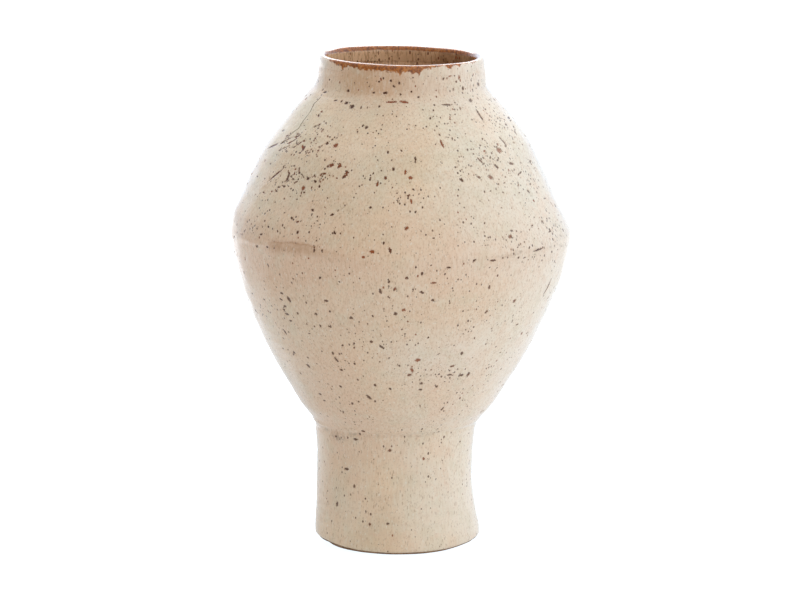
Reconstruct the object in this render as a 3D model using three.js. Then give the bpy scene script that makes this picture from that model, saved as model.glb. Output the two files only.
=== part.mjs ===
// Stoneware vase with a tall cylindrical foot, a round body and a short collar neck.
// Millimetres, +Z up. The foot stands on z = 0 and the body is centred on x = y = 0.
// The pot is thrown in four sections on a base slab. The sections are luted together with
// clay coils, glazed outside and inside, and banded with iron glaze over the lip.

import * as THREE from 'three';

const SEGMENTS = 48; // facets around the axis
const GAP = 0.3; // clearance between touching pieces
const GLAZE = 0.8; // thickness of a fired glaze coat
const COAT = GLAZE + GAP; // from the glazed surface in to the clay

// Heights of the joints and edges.
const HEIGHT = 360;
const GLAZE_FOOT_Z = 3; // the outer glaze stops here, above a bare clay edge
const SLAB_LEDGE_Z = 8; // the foot wall stands on this ledge
const SLAB_TOP_Z = 13;
const FOOT_JOINT_Z = 89;
const BELLY_JOINT_Z = 226;
const NECK_JOINT_Z = 336;
const BAND_OUT_Z = 352; // lower edge of the iron band outside
const BAND_IN_Z = 349; // and inside

// Base slab: a turned ring under a shallow recess.
const RECESS_Z = 4;
const RING_IN_R = 47;
const RING_OUT_R = 57.2;
const SLAB_PLUG_R = 50.2; // the raised middle that the foot wall fits around

// Luting coils fill a V cut in the inner edges of both walls.
const GROOVE = 3.5;
const COIL_BULGE = 1.6;

// Glazed outline of the pot, [height, radius], one list per section.
const FOOT_OUT = [[3, 60.2], [20, 59.5], [45, 57.8], [70, 57.7], [89, 59.3]];
const LOWER_OUT = [
  [90.5, 60], [98, 65.5], [113, 76], [132, 87.8], [154, 99.8], [180, 111.6], [204, 119.9], [226, 124.8],
];
const UPPER_OUT = [
  [232, 124.5], [247, 119.4], [267, 110.7], [286, 101.5], [304, 90.5], [320, 78.2], [331, 68.9], [336, 64.6],
];
const NECK_OUT = [[341, 62.1], [352, 60.8]];

// Inner face of the clay, [height, radius].
const FOOT_IN = [[13, 50.6], [45, 49.4], [89, 51.2]];
const LOWER_IN = [[98, 56.4], [118, 70.3], [145, 86.6], [180, 103], [206, 112.8], [226, 117.4]];
const UPPER_IN = [[246, 111.9], [270, 101.7], [292, 90.4], [312, 77.2], [328, 63.6], [336, 57.3]];
const NECK_IN = [[342, 56.3], [349, 55.7]];

const OUT = [...FOOT_OUT, ...LOWER_OUT, ...UPPER_OUT, ...NECK_OUT];
const IN = [...FOOT_IN, ...LOWER_IN, ...UPPER_IN, ...NECK_IN];

// The hand-built shape leans and bulges: sideways shift of each level, [height, shift].
const LEAN = [
  [0, -1.7], [20, -2.5], [45, -3.2], [85, -3.4], [98, -1.7], [154, -0.9], [176, 0], [196, 0.9],
  [226, 0.4], [247, -1.7], [286, -1.4], [304, -0.4], [334, -0.4], [343, 0.9], [360, 1.1],
];
const OVAL = 0.7; // out-of-round of the throwing
const DENT = { z: 44, tall: 24, deep: 1.8, wide: 0.75 }; // soft dent low on the +X side
const RIM_TILT = 1.3; // the lip is higher on the -X side
const RIM_DIP = 0.3;

function at(line, z) {
  const i = Math.min(Math.max(line.findIndex((p) => p[0] >= z), 1), line.length - 1);
  const [za, ra] = line[i - 1];
  const [zb, rb] = line[i];
  return THREE.MathUtils.clamp((z - za) / (zb - za), -0.5, 1.5) * (rb - ra) + ra;
}

const clayOut = (z) => at(OUT, z) - COAT;
const clayIn = (z) => at(IN, z);

// Moves a turned point to where the hand-made pot has it.
function wobble(p) {
  const angle = Math.atan2(p.y, p.x);
  const swell = OVAL * (Math.sin(2 * angle) + 0.5 * Math.sin(3 * angle) * (p.z / HEIGHT));
  const fall = Math.exp(-(((p.z - DENT.z) / DENT.tall) ** 2) - (angle / DENT.wide) ** 2);
  const radius = Math.hypot(p.x, p.y);
  const share = Math.min(radius / 40, 1);
  const moved = radius + share * (swell - DENT.deep * fall);
  const rise = THREE.MathUtils.smoothstep(p.z, NECK_JOINT_Z, BAND_OUT_Z);
  p.x = moved * Math.cos(angle) + at(LEAN, p.z);
  p.y = moved * Math.sin(angle);
  p.z += rise * (RIM_DIP * Math.cos(2 * angle) - RIM_TILT * Math.cos(angle));
}

// Turns a closed [radius, height] outline, listed anticlockwise, about Z.
function turned(name, outline, material) {
  const points = outline.map(([r, z]) => new THREE.Vector2(r, z));
  if (outline[0][0] > 0) {
    points.push(points[0].clone());
  }
  const geometry = new THREE.LatheGeometry(points, SEGMENTS);
  geometry.rotateX(Math.PI / 2);
  const position = geometry.attributes.position;
  const p = new THREE.Vector3();
  for (let i = 0; i < position.count; i += 1) {
    wobble(p.fromBufferAttribute(position, i));
    position.setXYZ(i, p.x, p.y, p.z);
  }
  geometry.computeVertexNormals();
  const mesh = new THREE.Mesh(geometry, material);
  mesh.name = name;
  return mesh;
}

function finish(colour, roughness) {
  return new THREE.MeshStandardMaterial({ color: colour, roughness, metalness: 0 });
}

// Points of a line between two heights, moved in or out, as [radius, height].
function run(line, zFrom, zTo, moved) {
  return line.filter(([z]) => z > zFrom && z < zTo).map(([z, r]) => [r + moved, z]);
}

// A wall section between two joints, with half a V groove on each inner edge that has a coil.
function wall(name, zFrom, zTo, grooveBelow, grooveAbove, material) {
  const a = zFrom + GAP / 2;
  const b = zTo - GAP / 2;
  const below = grooveBelow ? GROOVE : 0;
  const above = grooveAbove ? GROOVE : 0;
  const inner = run(IN, a + below, b - above, 0).reverse();
  const outline = [[clayIn(a) + below, a], [clayOut(a), a], ...run(OUT, a, b, -COAT)];
  outline.push([clayOut(b), b], [clayIn(b) + above, b]);
  if (above) {
    outline.push([clayIn(b - above), b - above]);
  }
  outline.push(...inner);
  if (below) {
    outline.push([clayIn(a + below), a + below]);
  }
  return turned(name, outline, material);
}

// A coil pressed into the V of a joint and smoothed to a low bead inside.
function coil(name, z, material) {
  const low = z - GROOVE + GAP;
  const high = z + GROOVE - GAP;
  return turned(name, [
    [clayIn(low) - 0.1, low],
    [clayIn(z) + GROOVE - 2 * GAP, z],
    [clayIn(high) - 0.1, high],
    [clayIn(z + 1.5) - COIL_BULGE, z + 1.5],
    [clayIn(z - 1.5) - COIL_BULGE, z - 1.5],
  ], material);
}

const clay = () => finish('#8d6f58', 0.9);
const luting = () => finish('#7c5f4b', 0.92);
const body = new THREE.Group();
body.name = 'stoneware_vase';

// Base slab with its turned foot ring and the plug inside the foot wall.
body.add(turned('base_slab', [
  [0, RECESS_Z],
  [RING_IN_R - 3, RECESS_Z],
  [RING_IN_R, 0],
  [RING_OUT_R, 0],
  [clayOut(GLAZE_FOOT_Z) - 0.4, 1.6],
  [clayOut(GLAZE_FOOT_Z), GLAZE_FOOT_Z],
  [clayOut(SLAB_LEDGE_Z), SLAB_LEDGE_Z - GAP / 2],
  [SLAB_PLUG_R, SLAB_LEDGE_Z - GAP / 2],
  [SLAB_PLUG_R, SLAB_TOP_Z],
  [0, SLAB_TOP_Z],
], finish('#5e4534', 0.88)));

// Coil in the inner corner between the slab and the foot wall.
const CORNER = { z: SLAB_TOP_Z + GAP, r: FOOT_IN[0][1] - GAP, leg: 4 };
body.add(turned('base_coil', [
  [CORNER.r - CORNER.leg, CORNER.z],
  [CORNER.r, CORNER.z],
  [CORNER.r - 0.15, CORNER.z + CORNER.leg],
  [CORNER.r - 1.8, CORNER.z + 1.8],
], luting()));

body.add(wall('foot_wall', SLAB_LEDGE_Z, FOOT_JOINT_Z, false, true, clay()));
body.add(coil('foot_coil', FOOT_JOINT_Z, luting()));
body.add(wall('lower_wall', FOOT_JOINT_Z, BELLY_JOINT_Z, true, true, clay()));
body.add(coil('belly_coil', BELLY_JOINT_Z, luting()));
body.add(wall('upper_wall', BELLY_JOINT_Z, NECK_JOINT_Z, true, true, clay()));
body.add(coil('neck_coil', NECK_JOINT_Z, luting()));

// Neck wall: a collar drawn up to a thin rounded lip.
body.add(turned('neck_wall', [
  [clayIn(NECK_JOINT_Z) + GROOVE, NECK_JOINT_Z + GAP / 2],
  [clayOut(NECK_JOINT_Z), NECK_JOINT_Z + GAP / 2],
  [clayOut(341), 341],
  [clayOut(BAND_OUT_Z), BAND_OUT_Z],
  [59.2, 356.6],
  [58.4, 358.3],
  [57.4, 358.8],
  [56.4, 358.2],
  [55.5, 356.6],
  [clayIn(BAND_IN_Z), BAND_IN_Z],
  [clayIn(342), 342],
  [clayIn(NECK_JOINT_Z + GROOVE), NECK_JOINT_Z + GROOVE + GAP / 2],
], clay()));

// Outer glaze: one skin from just above the foot edge to the iron band.
const skin = OUT.map(([z, r]) => [r, z]);
const skinBack = OUT.map(([z, r]) => [r - GLAZE, z]).reverse();
skin[skin.length - 1][1] -= GAP / 2;
skinBack[0][1] -= GAP / 2;
body.add(turned('outer_glaze', [...skin, ...skinBack], finish('#d9c6a8', 0.22)));

// Inner glaze: poured over the floor, the walls and the coil beads, up to the iron band.
function liner(deep) {
  const joints = [FOOT_JOINT_Z, BELLY_JOINT_Z, NECK_JOINT_Z];
  const beads = joints.flatMap((z) => [
    [z - GROOVE - 1, clayIn(z - GROOVE - 1) - deep],
    [z, clayIn(z) - 1.7 * COIL_BULGE - deep],
    [z + GROOVE + 1, clayIn(z + GROOVE + 1) - deep],
  ]);
  const faces = IN.filter(([z]) => z > 40 && !joints.includes(z)).map(([z, r]) => [z, r - deep]);
  return [...faces, ...beads].sort((a, b) => a[0] - b[0]).map(([z, r]) => [r, z]);
}
const poured = liner(GAP);
const pouredFace = liner(COAT).reverse();
poured[poured.length - 1][1] -= GAP / 2;
pouredFace[0][1] -= GAP / 2;
const cornerLow = SLAB_TOP_Z + GAP;
body.add(turned('inner_glaze', [
  [0, cornerLow],
  [CORNER.r - CORNER.leg - GAP, cornerLow],
  [CORNER.r - CORNER.leg + 0.2, cornerLow + 0.6],
  [CORNER.r - 2.3, CORNER.z + 2.2],
  [CORNER.r - 0.7, CORNER.z + CORNER.leg + 0.6],
  ...poured,
  ...pouredFace,
  [CORNER.r - 1.6, CORNER.z + CORNER.leg + 0.6],
  [CORNER.r - 3.1, CORNER.z + 3],
  [CORNER.r - CORNER.leg - 1, cornerLow + GLAZE],
  [0, cornerLow + GLAZE],
], finish('#b9a68a', 0.3)));

// Iron band: a thin saddle of amber glaze over the lip.
body.add(turned('rim_glaze', [
  [at(OUT, BAND_OUT_Z) - GLAZE, BAND_OUT_Z + GAP / 2],
  [at(OUT, BAND_OUT_Z), BAND_OUT_Z + GAP / 2],
  [60.4, 357],
  [59.2, 359.4],
  [57.5, HEIGHT],
  [55.7, 359.2],
  [54.4, 357],
  [clayIn(BAND_IN_Z) - COAT, BAND_IN_Z + GAP / 2],
  [clayIn(BAND_IN_Z) - GAP, BAND_IN_Z + GAP / 2],
  [55.2, 356.8],
  [56.2, 358.6],
  [57.4, 359.2],
  [58.7, 358.6],
  [59.6, 356.8],
], finish('#a86f33', 0.25)));

export default body;
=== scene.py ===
import math

import bpy
import numpy as np
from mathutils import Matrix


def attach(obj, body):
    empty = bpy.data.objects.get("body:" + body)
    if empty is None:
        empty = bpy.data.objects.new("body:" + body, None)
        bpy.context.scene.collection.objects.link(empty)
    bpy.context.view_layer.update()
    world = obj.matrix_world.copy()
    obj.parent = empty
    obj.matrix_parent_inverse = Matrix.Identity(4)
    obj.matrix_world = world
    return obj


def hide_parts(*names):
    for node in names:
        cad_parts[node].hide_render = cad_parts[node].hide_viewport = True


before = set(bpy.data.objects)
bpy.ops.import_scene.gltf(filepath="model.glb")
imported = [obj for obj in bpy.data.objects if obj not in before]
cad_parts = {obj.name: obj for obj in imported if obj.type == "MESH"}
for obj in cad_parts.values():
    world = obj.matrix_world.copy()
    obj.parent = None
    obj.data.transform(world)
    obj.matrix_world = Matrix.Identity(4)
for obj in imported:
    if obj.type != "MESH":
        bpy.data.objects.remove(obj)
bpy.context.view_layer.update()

# Lengths below are in mm, as the pot is described, and meshes are made in metres.
MM = 0.001
TAU = 2 * math.pi


def add_object(name, data):
    made = bpy.data.objects.new(name, data)
    bpy.context.collection.objects.link(made)
    return made


# ---------------------------------------------------------------- camera

LOOK_AT_Z = 0.1792
CAMERA_DISTANCE = 4.2
CAMERA_ELEVATION = math.radians(9.25)
LENS_MM = 257.8


def make_camera():
    data = bpy.data.cameras.new("camera")
    data.lens = LENS_MM
    data.sensor_width = 36
    data.clip_end = 100
    camera = add_object("camera", data)
    camera.location = (
        0,
        -CAMERA_DISTANCE * math.cos(CAMERA_ELEVATION),
        LOOK_AT_Z + CAMERA_DISTANCE * math.sin(CAMERA_ELEVATION),
    )
    camera.rotation_euler = (math.pi / 2 - CAMERA_ELEVATION, 0, 0)
    bpy.context.scene.camera = camera


make_camera()

# ---------------------------------------------------------------- the pot's outline

# Glazed outline from the foot edge up, over the lip and down inside to the floor, (radius, height).
FOOT_CURVE = [
    (58.9, 2.0), (59.7, 1.8), (60.3, 2.5), (60.5, 3.9), (60.45, 7), (60.25, 12), (59.6, 20),
    (58.6, 32), (57.9, 45), (57.6, 60), (57.6, 72), (58.3, 81), (59.1, 87), (59.4, 89),
]
LOWER_CURVE = [
    (60.3, 90.8), (62.7, 94.6), (66.0, 98.6), (70.4, 104), (75.7, 112.4), (80.2, 120), (86.5, 130),
    (92.2, 140), (97.7, 150), (103.0, 161), (108.5, 172.5), (113.2, 184.5), (117.4, 196),
    (120.4, 206), (122.9, 217), (124.7, 226),
]
UPPER_CURVE = [
    (125.0, 229.4), (124.4, 232.6), (122.2, 239.5), (119.1, 248), (114.7, 258), (110.2, 268),
    (105.4, 278), (100.4, 288), (95.6, 297), (90.4, 304.4), (84.5, 312), (78.2, 320),
    (72.6, 326.8), (67.4, 332.6), (64.6, 335.8),
]
NECK_CURVE = [(62.9, 338.6), (62.1, 342), (61.5, 346), (61.0, 350), (60.85, 352)]
LIP_CURVE = [
    (60.7, 354.6), (60.3, 357.4), (59.3, 359.3), (57.6, 360), (55.8, 359.3), (54.7, 357.4),
    (54.4, 353.6), (54.5, 349),
]
LINER_NECK_CURVE = [
    (54.6, 345), (54.9, 341.5), (55.6, 338), (57.6, 334), (60.6, 330), (64.6, 325.4),
]
LINER_BODY_CURVE = [
    (76.0, 312), (89.2, 292), (100.5, 270), (110.6, 246), (115.2, 232), (114.6, 226),
    (114.6, 218), (111.6, 206), (101.8, 180), (85.4, 145), (69.0, 118), (56.6, 100),
]
LINER_FOOT_CURVE = [
    (51.6, 93), (48.6, 89), (48.8, 83), (48.3, 68), (48.2, 45), (48.6, 26), (48.2, 20),
    (46.6, 16.6), (43.6, 14.6), (39.0, 14.1), (20, 14.1), (0, 14.1),
]

# Sideways shift of each level of the hand-built pot, (height, shift).
LEAN = [
    (0, -1.7), (20, -2.5), (45, -3.2), (85, -3.4), (98, -1.7), (154, -0.9), (176, 0), (196, 0.9),
    (226, 0.4), (247, -1.7), (286, -1.4), (304, -0.4), (334, -0.4), (343, 0.9), (360, 1.1),
]
OVAL = 0.7  # out of round
DENT_Z, DENT_TALL, DENT_WIDE, DENT_DEEP = 44, 24, 0.75, 1.8  # soft dent low on the +X side
RIM_TILT, RIM_DIP, RIM_NOD = 1.3, 0.3, -0.3
RIM_RISE_Z = 352  # from the neck joint up to here the lip's tilt comes in
# The inner floor of the pot isn't moved about: the wobble is full from this radius outwards.
STEADY_RADIUS = 40
# The foot's lower edge is lifted at the sides, (degrees round, lift).
FOOT_LIFT = [
    (-180, 5.4), (-165, 5.4), (-147, 4.6), (-138, 3.5), (-130, 2.6), (-118, 1.6), (-95, 1.0),
    (-70, 1.0), (-54, 1.6), (-39, 2.7), (-20, 3.7), (0, 3.6), (30, 2.2), (60, 0.9), (90, 0.5),
    (120, 0.8), (150, 2.8), (180, 5.4),
]
LIFT_RADII, LIFT_LEVELS = (49, 57), (4, 20)
FRONT_FLARE, FLARE_TALL = 1.4, 9  # the foot's lower edge turns out a little in front
GLAZE = 0.8  # thickness of a glaze skin
RELIEF_FLOOR = -0.8  # no mark or groove goes deeper
FULL_HEIGHT = 360

FOOT_JOINT_Z, NECK_JOINT_Z = 89.0, 336.0


def smoothstep(x, low, high):
    t = np.clip((x - low) / (high - low), 0, 1)
    return t * t * (3 - 2 * t)


def wrap(angle):
    return (angle + math.pi) % TAU - math.pi


def bump_at(x, centre, width):
    return np.exp(-(((x - centre) / width) ** 2))


def degrees_round(theta):
    return np.degrees(wrap(theta))


def along_ring(table, theta, column):
    """One column of a table whose first column is degrees round the pot."""
    first = [row[0] for row in table]
    return np.interp(degrees_round(theta), first, [row[column] for row in table])


def wobble(r, z, theta):
    """From the turned shape to the hand-made one: out of round, leaning, dented, lip uneven."""
    angle = wrap(theta)
    swell = OVAL * (np.sin(2 * angle) + 0.5 * np.sin(3 * angle) * (z / FULL_HEIGHT))
    fall = np.exp(-(((z - DENT_Z) / DENT_TALL) ** 2) - (angle / DENT_WIDE) ** 2)
    share = np.minimum(r / STEADY_RADIUS, 1)
    flare = FRONT_FLARE * bump_at(z, 0, FLARE_TALL) * np.maximum(-np.sin(angle), 0)
    moved = r + share * (swell - DENT_DEEP * fall + flare)
    levels, shifts = zip(*LEAN)
    rise = smoothstep(z, NECK_JOINT_Z, RIM_RISE_Z)
    x = moved * np.cos(angle) + np.interp(z, levels, shifts)
    y = moved * np.sin(angle)
    up = z + rise * (
        RIM_DIP * np.cos(2 * angle) - RIM_TILT * np.cos(angle) - RIM_NOD * np.sin(angle)
    )
    lift = along_ring(FOOT_LIFT, theta, 1)
    up = up + lift * smoothstep(r, *LIFT_RADII) * (1 - smoothstep(z, *LIFT_LEVELS))
    return np.stack([x, y, up + 0 * x], axis=-1)


# ---------------------------------------------------------------- seeded noise

def value_noise(points, scale, seed):
    """Smooth noise from -1 to 1 at points (..., 3), with cells `scale` mm wide."""
    table = np.random.default_rng(seed).uniform(-1, 1, 4096)
    q = np.asarray(points) / scale + 1000.0
    cell = np.floor(q).astype(np.int64)
    f = q - cell
    f = f * f * f * (f * (f * 6 - 15) + 10)
    total = np.zeros(q.shape[:-1])
    for corner in range(8):
        step = np.array([corner & 1, corner >> 1 & 1, corner >> 2 & 1])
        c = cell + step
        key = (c[..., 0] * 73856093 ^ c[..., 1] * 19349663 ^ c[..., 2] * 83492791) & 4095
        weight = np.prod(np.where(step == 1, f, 1 - f), axis=-1)
        total += table[key] * weight
    return total


def layered_noise(points, scale, seed, layers=3):
    total = np.zeros(np.asarray(points).shape[:-1])
    size = 1.0
    for i in range(layers):
        total += size * value_noise(points, scale / 2 ** i, seed + i)
        size *= 0.5
    return total


def ring_points(theta, radius=60.0):
    """Points for noise that runs round the pot and doesn't change with height."""
    return np.stack([radius * np.cos(theta), radius * np.sin(theta), 0 * theta], axis=-1)


# ---------------------------------------------------------------- marks in the glaze

# Iron spots and pits seen from the front:
# (degrees round from +X, height, length, width, tilt in degrees, 0 dark to 1 amber), sizes in mm.
FRONT_MARKS = [
    (-120, 304, 3.7, 2.9, 70, 0.8), (-125, 305, 2.9, 2.2, 20, 0.2),
    (-137, 300, 3.7, 1.8, 110, 0.5), (-162, 297, 8.0, 1.2, 52, 0.5),
    (-147, 280, 14.5, 1.2, 58, 0.5), (-139, 280, 8.0, 1.5, 90, 0.4),
    (-119, 291, 4.4, 2.6, 25, 0.7), (-115, 291, 3.7, 2.6, 60, 0.7), (-111, 287, 2.9, 2.2, 0, 0.5),
    (-112, 284, 3.7, 2.2, 60, 0.5), (-128, 281, 2.9, 2.2, 30, 0.3),
    (-121, 285, 3.7, 1.6, 10, 0.5), (-129, 274, 3.7, 2.6, 90, 0.8), (-98, 280, 3.7, 2.2, 80, 0.7),
    (-95, 284, 2.9, 2.2, 90, 0.5), (-87, 288, 3.7, 2.2, 80, 0.9), (-92, 290, 2.9, 2.2, 90, 0.3),
    (-107, 317, 2.9, 2.2, 30, 0.1), (-119, 330, 3.7, 2.9, 0, 0.2), (-124, 332, 2.9, 2.2, 0, 0.1),
    (-127, 251, 2.2, 1.8, 0, 0.5), (-143, 239, 2.2, 1.5, 40, 0.1), (-126, 244, 2.9, 1.8, 80, 0.2),
    (-112, 246, 2.9, 1.8, 90, 0.1), (-114, 258, 2.9, 1.8, 30, 0.3), (-100, 264, 2.2, 1.8, 0, 0.1),
    (-99, 234, 3.7, 3.3, 0, 1.0), (-102, 230, 2.6, 1.8, 0, 0.9), (-93, 235, 4.4, 2.2, 100, 0.4),
    (-70, 306, 6.6, 1.8, 105, 0.8), (-85, 284, 3.7, 2.6, -20, 1.0), (-83, 296, 5.1, 1.5, 90, 0.1),
    (-40, 298, 3.7, 3.3, 90, 0.9), (-34, 303, 5.1, 1.1, 110, 0.3), (-53, 293, 6.6, 1.3, -55, 0.4),
    (-45, 288, 4.4, 1.5, -50, 0.2), (-35, 288, 3.7, 1.8, -20, 0.5),
    (-50, 281, 4.4, 2.6, -30, 0.6), (-56, 282, 2.9, 1.8, -30, 0.4),
    (-64, 281, 3.7, 2.2, -40, 0.2), (-49, 299, 2.2, 1.5, 0, 0.8), (-86, 272, 2.9, 1.8, 50, 0.5),
    (-85, 268, 3.7, 1.8, 100, 0.9), (-87, 250, 3.7, 2.6, 40, 0.8), (-49, 240, 2.9, 2.2, 60, 0.7),
    (-37, 228, 8.8, 1.5, 8, 0.1), (-58, 225, 5.1, 1.8, 0, 0.3), (-65, 226, 3.7, 1.8, 40, 0.1),
    (-74, 222, 3.7, 1.5, 0, 0.3), (-83, 218, 2.9, 2.2, 70, 0.3), (-88, 215, 2.6, 2.2, 0, 0.4),
    (-133, 194, 5.1, 2.2, 110, 0.1), (-117, 196, 3.3, 1.8, -10, 0.2),
    (-122, 185, 2.6, 2.2, -20, 0.1), (-121, 176, 2.9, 1.5, 110, 0.2),
    (-136, 188, 2.2, 1.8, 0, 0.1), (-136, 182, 2.9, 1.8, -10, 0.1),
    (-141, 167, 5.1, 1.3, 115, 0.2), (-134, 142, 3.3, 2.2, 120, 0.1),
    (-117, 150, 4.4, 1.6, 120, 0.2), (-116, 142, 2.6, 2.2, 0, 0.1), (-108, 184, 2.6, 2.6, 0, 0.1),
    (-101, 166, 2.6, 2.2, 0, 0.3), (-97, 205, 4.4, 2.2, 100, 0.2), (-92, 207, 2.9, 2.2, 80, 0.8),
    (-92, 188, 2.9, 2.2, 100, 0.2), (-97, 162, 5.1, 1.8, -45, 0.2), (-101, 131, 2.2, 2.2, 0, 0.2),
    (-105, 121, 5.1, 2.2, -50, 0.2), (-94, 128, 2.2, 2.0, 0, 0.1),
    (-135, 119, 2.4, 1.8, -30, 0.1), (-83, 204, 3.7, 1.8, -20, 0.2), (-79, 211, 5.1, 1.8, 0, 0.7),
    (-79, 198, 2.6, 2.2, 0, 0.2), (-89, 191, 2.9, 2.6, 0, 0.9), (-58, 205, 2.9, 1.8, 100, 0.3),
    (-57, 186, 3.7, 1.8, 60, 0.3), (-45, 192, 2.9, 2.2, 90, 0.5), (-63, 155, 2.9, 2.0, 90, 0.3),
    (-82, 151, 4.4, 2.9, 10, 0.9), (-84, 143, 4.4, 2.2, 120, 0.7), (-85, 139, 3.3, 2.2, 20, 0.5),
    (-66, 145, 3.7, 1.8, 20, 0.5), (-66, 138, 4.4, 1.5, 0, 0.3), (-60, 137, 4.0, 2.2, 0, 0.3),
    (-56, 137, 2.9, 2.2, 70, 0.5), (-79, 132, 2.9, 1.8, 0, 0.3), (-79, 127, 2.6, 1.8, 0, 0.3),
    (-71, 129, 2.2, 2.0, 0, 0.2), (-64, 110, 3.7, 1.5, 60, 0.2), (-25, 197, 13.0, 0.8, 76, 0.4),
    (-119, 85, 4.0, 2.0, 0, 0.1), (-137, 85, 2.0, 1.6, -5, 0.0), (-113, 92, 2.9, 1.6, -20, 0.2),
    (-94, 78, 3.3, 2.2, 20, 0.6), (-69, 71, 2.2, 2.2, 0, 0.8), (-121, 50, 2.8, 1.8, 90, 0.2),
    (-128, 62, 3.7, 2.2, 0, 0.1), (-137, 35, 4.4, 1.6, 90, 0.2), (-109, 23, 2.9, 1.8, 90, 0.5),
    (-96, 24, 2.4, 2.0, 0, 0.2), (-95, 334, 9.0, 1.5, 0, 0.8), (-87, 334, 7.0, 2.0, -8, 0.9),
    (-60, 331, 9.0, 1.2, -4, 0.1), (-40, 322, 9.5, 1.4, 92, 0.1), (-97, 349, 2.2, 1.8, 90, 0.1),
    (-95, 345, 2.6, 1.8, 130, 0.1), (-105, 348, 1.8, 1.5, 60, 0.1),
    (-127, 340, 2.2, 2.2, 90, 0.2), (-108, 340, 2.2, 1.8, 0, 0.1), (-100, 340, 3.7, 1.8, 10, 0.2),
    (-90, 339, 2.1, 1.8, 90, 0.1), (-78, 337, 2.2, 1.5, -40, 0.2), (-49, 347, 1.8, 1.5, 90, 0.4),
    (-52, 341, 2.6, 1.5, 90, 0.3), (-60, 350, 2.2, 1.5, 80, 0.1), (-43, 341, 2.9, 1.8, 100, 0.1),
    (-24, 342, 3.3, 1.5, 110, 0.1), (-40, 332, 3.3, 2.2, 40, 0.1), (-83, 341, 1.5, 1.5, 0, 0.2),
    (-148, 337, 2.6, 1.5, 30, 0.1), (-133, 333, 2.6, 1.2, 15, 0.1),
    (-128, 333, 1.8, 1.5, 90, 0.1), (-46, 350, 3.7, 1.5, 90, 1.0), (-54, 352, 2.9, 2.2, 20, 0.9),
    (-114, 354, 1.8, 1.3, 60, 0.1), (-147, 303, 6.0, 0.6, 51, 0.4),
    (-151, 304, 4.2, 0.6, 45, 0.3), (-150, 298, 5.4, 0.6, 42, 0.4),
    (-143, 300, 3.6, 0.7, 56, 0.4), (-131, 282, 6.0, 0.7, 135, 0.2),
    (-145, 307, 2.6, 0.7, 55, 0.3), (-141, 303, 2.6, 0.9, 60, 0.5),
    (-154, 301, 3.5, 0.8, 48, 0.2), (-109, 354, 1.8, 1.3, 60, 0.1),
    (-105, 354, 1.8, 1.3, 60, 0.1),
]

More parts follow.
